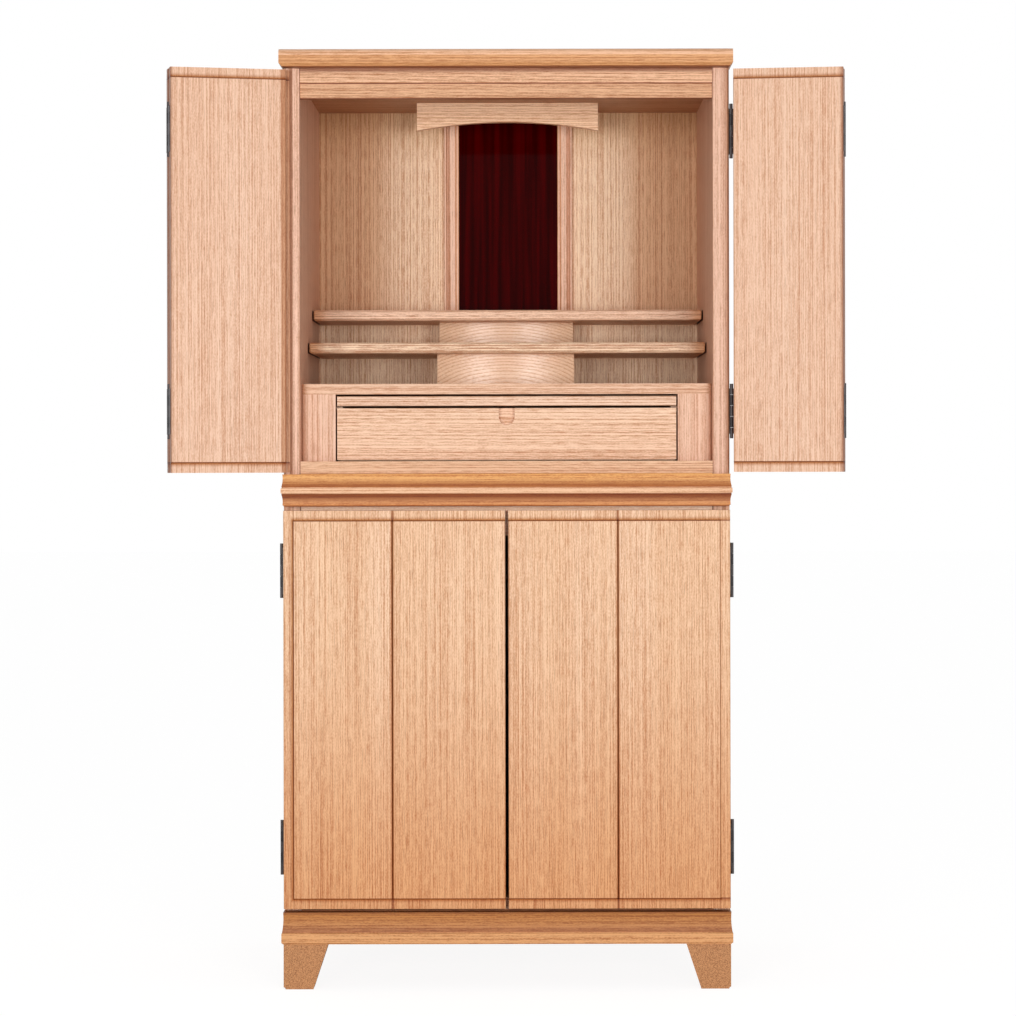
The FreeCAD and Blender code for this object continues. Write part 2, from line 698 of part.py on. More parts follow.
def start_edge(kind):
    """A door's first upright edge from back to front, as distances along and through it."""
    if kind == "rim":
        return [(0, 0), (0, rim_level - rim_ease, -QUARTER * rim_ease), (rim_ease, rim_level),
                (rim - cove, rim_level, QUARTER * cove), (rim, rim_level + cove),
                (rim, door_thick)]
    return [(fold_bevel, 0), (0, fold_bevel), (0, door_thick - door_round, -QUARTER * door_round),
            (door_round, door_thick)]


def seam_groove(middle):
    """The groove between two boards of a door, its edges rounded."""
    shoulder = door_thick - seam_round
    bottom = door_thick - size("seam_depth")
    return [(middle - seam_half - seam_round, door_thick, -QUARTER * seam_round),
            (middle - seam_half, shoulder), (middle - seam_half, bottom),
            (middle + seam_half, bottom), (middle + seam_half, shoulder, -QUARTER * seam_round),
            (middle + seam_half + seam_round, door_thick)]


def end_edge(kind, width):
    """A door's other upright edge from front to back."""
    rounded = [(width - door_round, door_thick, -QUARTER * door_round),
               (width, door_thick - door_round)]
    if kind == "fold":
        return rounded + [(width, fold_bevel), (width - fold_bevel, 0)]
    if kind == "rebate":
        depth = door_thick - size("tongue_setback") + size("tongue_gap")
        inner = width - size("tongue_width") - size("tongue_gap")
        return rounded + [(width, depth), (inner, depth), (inner, 0)]
    if kind == "tongue":
        tip = width + size("tongue_width")
        return [(width - rim_ease, door_thick, -QUARTER * rim_ease), (width, door_thick - rim_ease),
                (width, door_thick - size("tongue_setback")),
                (tip, door_thick - size("tongue_setback")), (tip, size("tongue_relief")),
                (width - size("relief_width"), size("tongue_relief")),
                (width - size("relief_width"), 0)]
    return rounded + [(width, 0)]


def panel(label, body, way, width, height, start=0, lift=0, first="rim", last="plain", seam=None):
    """A door in its body's own frame: from x = start along the way 1 or -1, its back lift in
    front of the plane y = 0 and its front towards -y. The plan is drawn first and raised, then
    the rims along the top and the bottom are cut with their coves."""
    lift = Length.of(lift)
    plan = start_edge(first)
    if seam is not None:
        plan = plan + seam_groove(seam)
    plan = plan + end_edge(last, width)
    corners = []
    for corner in plan:
        x, y = way * (start + Length.of(corner[0])), -(lift + corner[1])
        corners.append((x, y, way * corner[2]) if len(corner) > 2 else (x, y))
    pad(body, outline(body, label + "_plan", "XY_Plane", corners), height)
    face = -(lift + door_thick)
    ledge = -(lift + rim_level)
    spare = size("rim_ease")
    reach = start + width + size("rim_width")
    for name, edge, up in (("_foot_rim", Length.of(0), 1), ("_head_rim", height, -1)):
        cut = outline(body, label + name, "YZ_Plane", [
            (face - spare, edge - up * spare), (ledge, edge - up * spare),
            (ledge, edge + up * (rim - cove), -up * QUARTER * cove),
            (ledge - cove, edge + up * rim), (face - spare, edge + up * rim)])
        last_cut = pocket(body, cut, reach, reverse=way > 0)
    if last == "tongue":
        tip = way * (start + width + size("tongue_width"))
        round_edges(body, last_cut,
                    lambda middle, edge: near(middle.x, tip) and (
                        near(middle.z, 0) or near(middle.z, height)), size("tongue_round"))
    return keep(body, label)


door_back = front - size("door_back_gap")
lower_door_bottom = base_top + size("lower_door_bottom_gap")
lower_door_height = waist_bottom - size("lower_door_top_gap") - lower_door_bottom
door_outer = half - size("door_edge_inset")
door_width = door_outer - size("meeting_gap") / 2
left_door = new_body("lower_door_left", -door_outer, door_back, lower_door_bottom)
panel("lower_door_left", left_door, 1, door_width, lower_door_height,
      seam=size("left_door_board"))
right_door = new_body("lower_door_right", door_outer, door_back, lower_door_bottom)
panel("lower_door_right", right_door, -1, door_width, lower_door_height,
      seam=size("right_door_board"))

# Butt hinges: two plates and a barrel of knuckles round a pin. Each half is made about
# its axis, which is the local z, with its plate along the local x.
hinge_height, hinge_plate = size("hinge_height"), size("hinge_plate")
knuckle_gap = size("knuckle_gap")
knuckle_height = (hinge_height - knuckle_gap * (KNUCKLES - 1)) / KNUCKLES


def hinge_half(name, along, across, plate_from, odd, pinned):
    """One half of a hinge. along is 1 or -1, the side of the axis that its plate lies
    on; across is 1 or -1, the side of the axis that the plate's faces lie on, from
    plate_from off the axis. The odd half has the end knuckles and, where the hinge turns,
    the pin."""
    barrel, pin = size("barrel_radius"), size("pin_radius")
    bore = (pin + size("pin_clearance")) / math.cos(math.pi / PIN_SIDES)
    low_y, high_y = plate_from * across, (plate_from + hinge_plate) * across
    if across < 0:
        low_y, high_y = high_y, low_y
    wing_near, wing_far = barrel + knuckle_gap, barrel + knuckle_gap + size("hinge_wing")
    wing_low = size("hinge_wing_inset")
    wing_high = hinge_height - wing_low

    def strip(part, near_x, far_x, low_z, high_z):
        if along < 0:
            near_x, far_x = -far_x, -near_x
        return box(name + part, (near_x, low_y, low_z), (far_x, high_y, high_z))

    def rod(part, sides, radius, low_z, high_z):
        made = doc.addObject("Part::Prism", name + part)
        made.Polygon = sides
        bind(made, {"Circumradius": radius, "Height": high_z - low_z,
                    ".Placement.Base.z": low_z})
        return made

    parts = [strip("_wing", wing_near, wing_far, wing_low, wing_high)]
    bores = []
    for number in range(0 if odd else 1, KNUCKLES, 2):
        low_z = (knuckle_height + knuckle_gap) * number
        high_z = low_z + knuckle_height
        parts.append(rod("_knuckle_" + str(number), KNUCKLE_SIDES, barrel, low_z, high_z))
        tab_low = wing_low if number == 0 else low_z
        tab_high = wing_high if number == KNUCKLES - 1 else high_z
        parts.append(strip("_tab_" + str(number), Length.of(0), wing_near, tab_low, tab_high))
        if pinned and not odd:
            bores.append(rod("_bore_" + str(number), PIN_SIDES, bore, low_z, high_z))
    if pinned and odd:
        parts.append(rod("_pin", PIN_SIDES, pin, Length.of(0), hinge_height))
    whole = doc.addObject("Part::MultiFuse", name + "_fused")
    whole.Shapes = parts
    if not bores:
        return whole
    drilled = doc.addObject("Part::MultiFuse", name + "_holes")
    drilled.Shapes = bores
    made = doc.addObject("Part::Cut", name)
    made.Base, made.Tool = whole, drilled
    return made


def turn(thing, angle):
    """Turn a piece about its own upright axis."""
    thing.Placement.Rotation.Axis = FreeCAD.Vector(0, 0, 1)
    bind(thing, {".Placement.Rotation.Angle": Length.of(angle)})


def cabinet_hinge(name, side, level, opened, pinned):
    """The two halves of a hinge beside the cabinet, one plate on the side board's outer
    face and the other on the door's edge, with the door opened by an angle."""
    fixed = hinge_half(name + "_fixed", side, 1, axis_x - half - hinge_plate, True, pinned)
    moving = hinge_half(name + "_moving", -side, 1, edge_from_axis - hinge_plate, False, pinned)
    turn(fixed, side * 90)
    turn(moving, opened + side * 90)
    for part in (fixed, moving):
        place(part, side * axis_x, axis_y, level)
    return fixed, moving


axis_x = half + size("barrel_radius") + knuckle_gap
axis_y = front - half_gap
lower_inset = size("lower_hinge_inset")
lower_hinge_levels = [lower_door_bottom + lower_inset,
                      lower_door_bottom + lower_door_height - lower_inset - hinge_height]
cabinet_halves = []
for side, word in ((-1, "left"), (1, "right")):
    door_halves = []
    for number, level in enumerate(lower_hinge_levels):
        fixed, moving = cabinet_hinge("lower_" + word + "_hinge_" + str(number), side, level,
                                      Length.of(0), True)
        cabinet_halves.append(fixed)
        door_halves.append(moving)
    group("lower_hinges_" + word, door_halves)
group("lower_hinges_cabinet", cabinet_halves)

# Folding doors, folded and opened beside the cabinet. Each leaf's body has its origin on
# the cabinet hinge's axis, so that turning the body opens the pair.
leaf_bottom = waist_top + size("leaf_bottom_gap")
leaf_height = size("upper_height") - size("leaf_bottom_gap") - size("leaf_top_gap")
upper_inset = size("upper_hinge_inset")
upper_hinge_levels = [leaf_bottom + upper_inset,
                      leaf_bottom + leaf_height - upper_inset - hinge_height]


def folding_door(word, side, tilt, inner_width, meeting):
    """Two leaves, folded back to back, with the hinges that carry them."""
    outer_turn, inner_turn = side * (180 - tilt), -side * tilt
    fold_x = side * (axis_x + fold_from_axis * cosine(tilt))
    fold_y = axis_y - fold_from_axis * sine(tilt)
    outer = new_body("outer_leaf_" + word, side * axis_x, axis_y, leaf_bottom)
    panel("outer_leaf_" + word, outer, -side, outer_leaf, leaf_height, start=edge_from_axis,
          lift=half_gap, last="fold")
    turn(outer, outer_turn)
    inner = new_body("inner_leaf_" + word, fold_x, fold_y, leaf_bottom)
    panel("inner_leaf_" + word, inner, -side, inner_width, leaf_height, lift=half_gap,
          first="fold", last=meeting)
    turn(inner, inner_turn)
    halves = []
    for number, level in enumerate(upper_hinge_levels):
        name = "upper_" + word + "_hinge_" + str(number)
        fixed, moving = cabinet_hinge(name, side, level, outer_turn, False)
        near_half = hinge_half(name + "_fold_odd", 1, -side, Length.of(0), True, False)
        far_half = hinge_half(name + "_fold_even", 1, side, Length.of(0), False, False)
        turn(near_half, outer_turn - 90)
        turn(far_half, inner_turn - 90)
        for part in (near_half, far_half):
            place(part, fold_x, fold_y, level)
        halves += [fixed, moving, near_half, far_half]
    group("upper_hinges_" + word, halves)


folding_door("left", -1, size("left_door_tilt"),
             inner_leaf + 2 * size("leaf_meeting") - size("leaf_gap"), "tongue")
folding_door("right", 1, size("right_door_tilt"), inner_leaf, "rebate")

doc.recompute()
for thing in doc.Objects:
    if "Invalid" in thing.State or "Error" in thing.State:
        raise RuntimeError("failed: " + thing.Label)
os.makedirs("parts", exist_ok=True)
for piece in nodes:
    shape = piece.Shape
    if shape.isNull() or not shape.isValid():
        raise RuntimeError("no valid solid: " + piece.Label)
    shape.exportStep("parts/" + piece.Label + ".step")
    print(piece.Label, len(shape.Solids), "solids,", round(shape.Volume / 1000, 1), "cm3")
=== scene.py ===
import math

import bpy
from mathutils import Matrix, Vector


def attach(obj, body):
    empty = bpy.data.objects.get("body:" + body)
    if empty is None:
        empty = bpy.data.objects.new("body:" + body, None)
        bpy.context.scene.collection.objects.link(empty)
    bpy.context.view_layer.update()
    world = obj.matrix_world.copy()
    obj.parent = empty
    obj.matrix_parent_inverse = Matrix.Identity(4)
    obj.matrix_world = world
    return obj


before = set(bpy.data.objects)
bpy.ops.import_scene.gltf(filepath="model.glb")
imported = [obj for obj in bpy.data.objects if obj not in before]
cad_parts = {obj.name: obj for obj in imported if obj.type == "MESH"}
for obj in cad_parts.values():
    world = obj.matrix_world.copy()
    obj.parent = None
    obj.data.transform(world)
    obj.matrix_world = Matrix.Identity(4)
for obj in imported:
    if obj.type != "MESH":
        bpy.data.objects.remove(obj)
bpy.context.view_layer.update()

# Feet: four splayed blocks of ash under the corners of the base, sawn across the board, so
# their faces are mottled. They are glued and screwed up into the base moulding. The value
# class and the ash of every other piece start here.
MIX_FACTOR, MIX_FIRST, MIX_SECOND, MIX_RESULT = 0, 6, 7, 2  # sockets of a Mix node for colours
# The stains below are real stains in the wood and painted shade, as said where each is used.
ENDLESS = 9.0  # past every place on the altar, for a stain that has no end


class Wire:
    """One value in a material's nodes. Sums written on it add their Math nodes."""

    def __init__(self, tree, socket=None):
        self.tree = tree
        self.socket = socket

    def node(self, kind, settings=None, sockets=None, output=0):
        """A new node with its settings and inputs. stops are a ramp's places and greys."""
        made = self.tree.nodes.new("ShaderNode" + kind)
        for name, value in (settings or {}).items():
            if name == "stops":
                ramp = made.color_ramp
                while len(ramp.elements) < len(value):
                    ramp.elements.new(0.5)
                for stop, (place, grey) in zip(ramp.elements, value):
                    stop.position = place
                    stop.color = (grey, grey, grey, 1)
            else:
                setattr(made, name, value)
        for name, value in (sockets or {}).items():
            if isinstance(value, Wire):
                value.into(made, name)
            else:
                made.inputs[name].default_value = value
        return Wire(self.tree, made.outputs[output])

    def math(self, operation, *values):
        return self.node("Math", {"operation": operation}, dict(enumerate(values)))

    def __add__(self, other):
        return self.math("ADD", self, other)

    def __radd__(self, other):
        return self.math("ADD", other, self)

    def __sub__(self, other):
        return self.math("SUBTRACT", self, other)

    def __rsub__(self, other):
        return self.math("SUBTRACT", other, self)

    def __mul__(self, other):
        return self.math("MULTIPLY", self, other)

    def __rmul__(self, other):
        return self.math("MULTIPLY", other, self)

    def __truediv__(self, other):
        return self.math("DIVIDE", self, other)

    def __rtruediv__(self, other):
        return self.math("DIVIDE", other, self)

    def into(self, node, name):
        """Plug the value into an input of a node that is there already."""
        self.tree.links.new(self.socket, node.inputs[name])

    def held(self, low=0.0, high=1.0):
        """The value kept between two limits."""
        return self.math("MINIMUM", self.math("MAXIMUM", self, low), high)

    def step(self, low, high):
        """0 below low, 1 above high and smooth between them, for low above high too."""
        return self.node("MapRange", {"interpolation_type": "SMOOTHSTEP"},
                         {"Value": self, "From Min": low, "From Max": high})

    def tint(self, first, second, how="MIX"):
        """The first colour where this is 0, the second or what it does to the first at 1."""
        return self.node("Mix", {"data_type": "RGBA", "blend_type": how},
                         {MIX_FACTOR: self, MIX_FIRST: first, MIX_SECOND: second}, MIX_RESULT)


def shade(red, green, blue):
    """A colour as it is seen, 0 to 255, for the shader."""
    seen = [value / 255 for value in (red, green, blue)]
    return [v / 12.92 if v <= 0.04045 else ((v + 0.055) / 1.055) ** 2.4 for v in seen] + [1.0]


def plain_material(name):
    """A material with its shader, and a wire on its nodes."""
    made = bpy.data.materials.new(name)
    made.use_nodes = True
    tree = made.node_tree
    return made, tree.nodes["Principled BSDF"], Wire(tree)


def places(wire):
    """A place on the piece, and its three measures."""
    spot = wire.node("TexCoord", output="Object")
    return spot, [wire.node("SeparateXYZ", {}, {"Vector": spot}, axis) for axis in "XYZ"]


def ash(name, grain, across, pale, line, warm=None, shift=0.0, splits=(), lean=0.35,
        pitch=0.005, slope=0.0, wander=0.3, rings=0.0, long=1.0, fine=1.0, specks=1.0,
        grit=0.9, pores=0.3, bands=0.5, stains_and_shade=(), rough=0.45, sheen=0.35):
    """Oiled ash as a solid block of wood, so that the figure runs over a board's edges. grain is
    the axis along the fibres, across the axis over the board's face. Fine straight lines of
    darker wood run through it. rings adds the growth of each year, in sheets that are pitch wide
    and lean into the board. splits are places across the face where one board ends and the next
    begins. Each stain, whether a real stain or painted shade, is a way to measure a place, where
    it starts, is full, starts to fade and is gone, and the colour that it multiplies by."""
    made, shader, wire = plain_material(name)
    measures = places(wire)[1]
    axes = dict(zip("xyz", measures))
    length = axes[grain]
    side = axes[across]
    deep = axes[({"x", "y", "z"} - {grain, across}).pop()]
    board = wire.node("Value")
    board.socket.default_value = shift
    for place in splits:
        board = board + 0.437 * side.math("GREATER_THAN", side, place)

    def streak(along, over, jump, detail=0.0):
        """Noise drawn out along the fibres: along and over are how fast it changes a metre.
        The odd factors and jump keep one board's noise and one kind of streak from another's."""
        where = wire.node("CombineXYZ", sockets={
            0: length * along + board * (7.3 + jump), 1: side * over + board * 31.7,
            2: deep * over + jump})
        return wire.node("TexNoise", {"noise_dimensions": "3D"}, {
            "Vector": where, "Scale": 1.0, "Detail": detail}) - 0.5

    # Darker wood in long hairs and broader lines, with short flecks and dots between them.
    hairs = streak(2.5, 1000.0, 2.3)
    lines = streak(0.8, 330.0, 3.1, 1.0)
    flecks = streak(60.0, 1200.0, 4.7)
    dots = streak(350.0, 1000.0, 7.9)
    dark = 2.3 * fine * hairs + 0.8 * long * lines + 1.1 * specks * flecks + grit * specks * dots
    vessel = streak(45.0, 1500.0, 1.7).step(0.11, 0.24)
    if rings:
        slow = streak(0.9, 7.0, 3.7)
        years = (side + lean * deep + length * slope + slow * (wander * 0.04)) / pitch
        years = years + 2.2 * streak(0.3, 26.0, 8.7)
        late = wire.node("ValToRGB", {"stops": [
            (0.0, 1.0), (0.14, 0.72), (0.32, 0.28), (0.6, 0.04), (0.88, 0.12), (1.0, 0.9)]},
            {"Fac": years.math("FRACT", years)})
        dark = dark + rings * (late - 0.35)
        vessel = vessel * (0.3 + 0.7 * late)
    broad = streak(0.5, 15.0, 6.7, 1.0).step(-0.14, 0.14)
    colour = (broad * bands).tint(shade(*pale), shade(*(warm or pale)))
    colour = (dark + 0.32).held().tint(colour, shade(*line))
    dusk = (line[0] * 0.72, line[1] * 0.62, line[2] * 0.54)
    colour = (vessel * pores).tint(colour, shade(*dusk))
    for measure, start, full, fade, gone, tint_colour in stains_and_shade:
        place = measure(*measures)
        mask = place.step(start, full) * place.step(gone, fade)
        colour = mask.tint(colour, shade(*tint_colour), "MULTIPLY")
    colour.into(shader, "Base Color")
    gloss = rough + 0.12 * vessel + 0.1 * dark
    gloss.into(shader, "Roughness")
    relief = 0.5 - 0.5 * vessel - 0.2 * dark
    bump = wire.node("Bump", {}, {"Strength": 0.2, "Distance": 0.0003, "Height": relief})
    bump.into(shader, "Normal")
    shader.inputs["Specular IOR Level"].default_value = sheen
    return made


def along_x(x, y, z):
    return x


def upward(x, y, z):
    return z


def from_middle(x, y, z):
    return x.math("ABSOLUTE", x)


def within(**limits):
    """How far a place is inside a box, below 0 outside it. out is the distance from the
    middle to either side, and a limit of None is left open."""

    def measure(x, y, z):
        found = {"x": x, "y": y, "z": z, "out": x.math("ABSOLUTE", x)}
        depth = None
        for axis, (low, high) in limits.items():
            place = found[axis]
            gaps = []
            if low is not None:
                gaps.append(place - low)
            if high is not None:
                gaps.append(high - place)
            for gap in gaps:
                depth = gap if depth is None else depth.math("MINIMUM", depth, gap)
        return depth

    return measure


def above(measure, start, full, tint_colour):
    """A stain or painted shade that starts at a place, is full soon after it and has no end."""
    return measure, start, full, ENDLESS, ENDLESS + 1.0, tint_colour


def below(measure, fade, gone, tint_colour):
    """A stain or painted shade that has no start, fades at a place and is gone soon after it."""
    return measure, -ENDLESS - 1.0, -ENDLESS, fade, gone, tint_colour


def dress(material, *nodes):
    """Put a material on CAD nodes."""
    for name in nodes:
        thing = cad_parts[name]
        thing.data.materials.clear()
        thing.data.materials.append(material)


dress(ash("foot_ash", "y", "x", (206, 146, 94), (146, 92, 50), fine=0.6, specks=2.0,
          pores=0.6), "feet")

# Base moulding: a mitred frame of ash, its band under a hollow that leads up to the doors.
# The hollow is stained a darker orange with long streaks. Glued round the cupboard's bottom.
# Painted shade: the foot of the hollow above the band and the moulding's top under the doors are
# darker.
base_ash = ash("base_ash", "x", "z", (226, 165, 108), (178, 112, 60), pitch=0.0075,
               slope=0.008, rings=0.3, long=1.2, specks=1.5, stains_and_shade=[
                   above(upward, 0.0722, 0.0726, (218, 196, 148)),
                   (upward, 0.0722, 0.0728, 0.0740, 0.0830, (226, 208, 188)),
                   above(upward, 0.0930, 0.0982, (206, 190, 178))])
dress(base_ash, "base_moulding")
FILLER_END = 0.2636    # either end of a filler strip from the middle
FILLER_FRONT = -0.1846
FILLER_BACK = -0.1799  # just in front of the side boards


def filler_strip(name, bottom, top, material):
    """A thin bevelled strip behind a moulding, which closes the slot over it."""
    low = (-FILLER_END, FILLER_FRONT, bottom)
    high = (FILLER_END, FILLER_BACK, top)
    bpy.ops.object.select_all(action="DESELECT")
    centre = [(a + b) / 2 for a, b in zip(low, high)]
    bpy.ops.mesh.primitive_cube_add(size=1, location=centre)
    strip = bpy.context.object
    strip.name = name
    bpy.ops.transform.resize(value=[b - a for a, b in zip(low, high)])
    bpy.ops.object.transform_apply(location=True, rotation=True, scale=True)
    bpy.ops.object.mode_set(mode="EDIT")
    bpy.ops.mesh.select_all(action="SELECT")
    bpy.ops.mesh.bevel(offset=0.0003, segments=2, affect="EDGES")
    bpy.ops.object.mode_set(mode="OBJECT")
    strip.data.materials.append(material)
    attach(strip, "cabinet")


filler_strip("base_filler", 0.0900, 0.0993, base_ash)

# Cupboard: sides, bottom, top, back and front rails of ash boards, doweled together. Its side
# boards show their front edges beside the doors and their whole faces from the side.
side_pale = (232, 184, 152)
side_line = (188, 128, 92)
# Painted shade: a dark line just under the waist moulding, on the lower side boards and the
# front rail.
shade_under_waist = above(upward, 0.6149, 0.6157, (150, 118, 100))
dress(ash("lower_side_ash", "z", "y", side_pale, side_line, shift=0.7,
          stains_and_shade=[shade_under_waist]), "lower_side_left", "lower_side_right")
# The front rail's paler colour is painted light, where it shows in the slot under the waist
# moulding; its ends by the side boards are darkened as painted shade.
dress(ash("front_rail_ash", "x", "z", (252, 220, 193), (222, 172, 136), shift=1.3, stains_and_shade=[
    shade_under_waist, above(from_middle, 0.2634, 0.2638, (150, 110, 90))]),
      "lower_front_rail", "lower_top")
dress(ash("cupboard_ash", "x", "z", side_pale, side_line, shift=1.3), "lower_bottom",
      "back_rails")
dress(ash("cupboard_back_ash", "z", "x", (214, 168, 130), (176, 124, 86), shift=2.1,
          specks=1.8), "lower_back")

# Lower doors: each of two upright boards with a groove between them, a proud field and a lower
# rim round it. Straight-grained ash, yellower towards the bottom. The cove between rim and
# field, a line at the outer side of each field and the groove's edges are darkened as painted
# shade.
door_pale = (242, 202, 167)
door_line = (196, 134, 88)


def cove_shade(field, shade_tint):
    """Painted shade in a field's cove: a soft darkening down from the rim and a dark line beside
    it.
    """
    return [(field, 0.0006, -0.0002, -0.0014, -0.0070, shade_tint),
            (field, 0.0006, 0.0, -0.0005, -0.0020, (196, 172, 150))]


for word, rim, seam, shift in (("left", -0.272, -0.146, -0.5), ("right", None, 0.142, 1.1)):
    field = within(x=(rim, None), z=(0.1155, 0.597))
    # Painted shade along the groove between the two boards.
    groove = (along_x, seam - 0.0030, seam - 0.0004, seam + 0.0004, seam + 0.0030,
              (200, 156, 112))
    dress(ash("lower_door_ash_" + word, "z", "x", door_pale, door_line, warm=(236, 190, 146),
              splits=(seam,), shift=shift, fine=0.8, long=0.35, bands=0.4, specks=1.1,
              stains_and_shade=cove_shade(field, (214, 182, 142)) + [
                  (from_middle, 0.2716, 0.2719, 0.2724, 0.2736, (214, 196, 180)),
                  groove, below(upward, 0.06, 0.52, (240, 212, 178))]), "lower_door_" + word)

# Waist moulding: a mitred frame between cupboard and shrine, a hollow above its pale band
# and a darker one below with long arches in it, both hollows stained orange.
# Painted shade: the foot of the upper hollow and the top of the lower hollow, under the band,
# are darker.
waist_ash = ash("waist_ash", "x", "z", (236, 187, 146), (196, 132, 88), pitch=0.008,
                slope=0.012, rings=0.3, wander=1.2, long=1.4, specks=1.2, shift=0.9, stains_and_shade=[
                    above(upward, 0.6402, 0.6409, (250, 228, 166)),
                    (upward, 0.6402, 0.6408, 0.6414, 0.6540, (188, 154, 128)),
                    below(upward, 0.6318, 0.6324, (234, 198, 141)),
                    (upward, 0.6170, 0.6305, 0.6318, 0.6324, (166, 130, 104)),
                    below(upward, 0.6166, 0.6180, (200, 172, 152))])
dress(waist_ash, "waist_moulding")
filler_strip("waist_filler", 0.6500, 0.6580, waist_ash)

# Shrine cabinet: sides, bottom, ceiling, back and rails. Where each step's end goes into a side
# board, the slot is darkened as painted shade. The joints between the rails, and where they meet
# the side boards, show as dark lines. The front edge of each side board beside the folding doors
# is darkened as painted shade: on the left the leaf's shadow, on the right the shade of the
# hinge gap.
INNER_SIDE = 0.2700  # from the middle, inside the side boards' thickness
BACK_FACE = 0.2203   # the back panel's front face
step_end_shade = []
for step_front, low, high in ((-0.0277, 0.8172, 0.8312), (0.0603, 0.8642, 0.8782)):
    slot = within(out=(None, INNER_SIDE), y=(step_front, BACK_FACE), z=(low, high))
    step_end_shade.append(above(slot, -0.0006, 0.0006, (96, 70, 60)))
# Painted shadow of the left leaf on the side board's front edge, and painted shade beside the
# right hinge gap.
left_leaf_shadow = above(within(out=(0.2738, 0.2788), y=(None, -0.1760)), 0.0, 0.0010, (206, 178, 156))
right_gap_shade = above(within(out=(0.2770, None), y=(None, -0.1716)), 0.0, 0.0080, (204, 178, 154))
for word, pale, line, edge in (("left", (243, 198, 171), (196, 144, 112), left_leaf_shadow),
                               ("right", (234, 190, 163), (192, 136, 104), right_gap_shade)):
    dress(ash("upper_side_ash_" + word, "z", "y", pale, line, shift=3.3,
              stains_and_shade=step_end_shade + [edge]), "upper_side_" + word)
rail_ends = above(from_middle, 0.2641, 0.2645, (176, 136, 118))
# Painted shadow: the upper rail darkens towards its top, under the crown.
dress(ash("upper_rail_ash", "x", "z", (242, 193, 154), (182, 124, 80), pitch=0.0044,
          slope=0.03, rings=0.42, specks=1.4, grit=0.5, long=0.4, fine=0.8, shift=0.2, stains_and_shade=[
              rail_ends, above(upward, 1.1700, 1.1762, (168, 138, 120)),
              below(upward, 1.1588, 1.1594, (188, 148, 128))]), "upper_front_rail")
dress(ash("lintel_ash", "x", "z", (226, 175, 134), (170, 110, 66), pitch=0.0042, slope=0.02,
          rings=0.40, specks=1.4, grit=0.5, long=0.4, fine=0.8, shift=1.6, stains_and_shade=[
              rail_ends, above(upward, 1.1576, 1.1582, (176, 136, 114)),
              below(upward, 1.1398, 1.1404, (190, 152, 130))]), "lower_lintel")
dress(ash("shrine_board_ash", "x", "z", (234, 189, 150), (190, 132, 92), pitch=0.006,
          slope=0.01, rings=0.12, specks=1.6, grit=0.4, shift=2.2, stains_and_shade=[
              rail_ends, below(upward, 0.6574, 0.6580, (170, 130, 106))]), "upper_bottom")
# The ceiling's darker colour is painted shade.
dress(ash("ceiling_ash", "x", "y", (190, 136, 96), (150, 98, 62), shift=2.9), "ceiling")
BACK_MIDDLE = 0.2230  # inside the back panel's thickness


def inside(measure):
    """The same measure, but 0 on the far side of the back panel."""
    return lambda x, y, z: measure(x, y, z) * y.math("LESS_THAN", y, BACK_MIDDLE)


# The back panel's raised pale is painted light; its sides above the steps and its top under the
# ceiling are darkened as painted shade.
dress(ash("shrine_back_ash", "z", "x", (255, 225, 190), (212, 160, 120), specks=1.6, grit=0.6,
          long=0.5, shift=4.1, stains_and_shade=[
              above(inside(within(out=(0.15, None), z=(0.85, None))), 0.0, 0.045,
                    (230, 210, 190)),
              above(inside(upward), 1.085, 1.165, (222, 210, 188))]), "upper_back")

# Crown: a moulded ash board on top, its face stained orange, its top edge round and pale.
# Painted shade darkens the crown's lower edge.
dress(ash("crown_ash", "x", "z", (243, 193, 156), (200, 142, 100), pitch=0.006, slope=0.006,
          rings=0.12, specks=2.0, grit=0.4, shift=2.7, stains_and_shade=[
              below(upward, 1.1915, 1.1928, (234, 216, 182)),
              below(upward, 1.1779, 1.1788, (176, 140, 116))]), "crown_board")

# Posts, runners and tray: ash blocks each side of the drawer carry the tray on runners.
dress(ash("post_ash", "z", "x", (235, 193, 165), (200, 144, 110), long=0.5, shift=0.5),
      "bay_side_left", "bay_side_right")
dress(ash("tray_ash", "x", "z", (240, 202, 174), (184, 126, 84), pitch=0.0040, slope=0.006,
          rings=0.45, specks=1.4, grit=0.5, long=0.4, fine=0.7, shift=1.1),
      "pull_out_tray", "tray_runners")

# Drawer: a solid ash front with a finger notch, over a box of thin sides and a thin bottom.
dress(ash("drawer_front_ash", "x", "z", (244, 204, 172), (192, 134, 92), pitch=0.0048,
          slope=0.010, rings=0.45, specks=1.4, grit=0.5, long=0.35, fine=0.7, shift=5.2),
      "drawer_front")
dress(ash("drawer_box_ash", "x", "z", (234, 194, 156), (200, 150, 110), shift=6.2),
      "drawer_sides", "drawer_back", "drawer_bottom")

# Altar floor and steps: three boards one behind the other, each higher than the last.
# Painted shade darkens each board's ends by the side boards, and the middle step's raised colour
# is painted light.
for node, pale, end, shift in (("altar_floor", (234, 192, 160), 0.2686, 7.7),
                               ("middle_step", (255, 225, 191), 0.2480, 8.3),
                               ("upper_step", (255, 216, 185), 0.2480, 9.1)):
    dress(ash(node + "_ash", "x", "z", pale, (196, 140, 104), specks=1.5, grit=0.5, long=0.5,
              shift=shift, stains_and_shade=[
                  above(from_middle, end - 0.012, end + 0.012, (232, 206, 180))]), node)

# Pedestals: two curved blocks in the middle that carry the steps and the panel. Their fronts
# cut through sheets of growth that lean back, so that the lines make arches.
dress(ash("pedestal_ash", "x", "z", (252, 217, 184), (212, 156, 108), lean=1.3, pitch=0.0047,
          rings=0.68, wander=0.2, fine=0.25, long=0.25, specks=0.6, shift=8.8, rough=0.3,
          sheen=0.5), "lower_pedestal", "upper_pedestal")

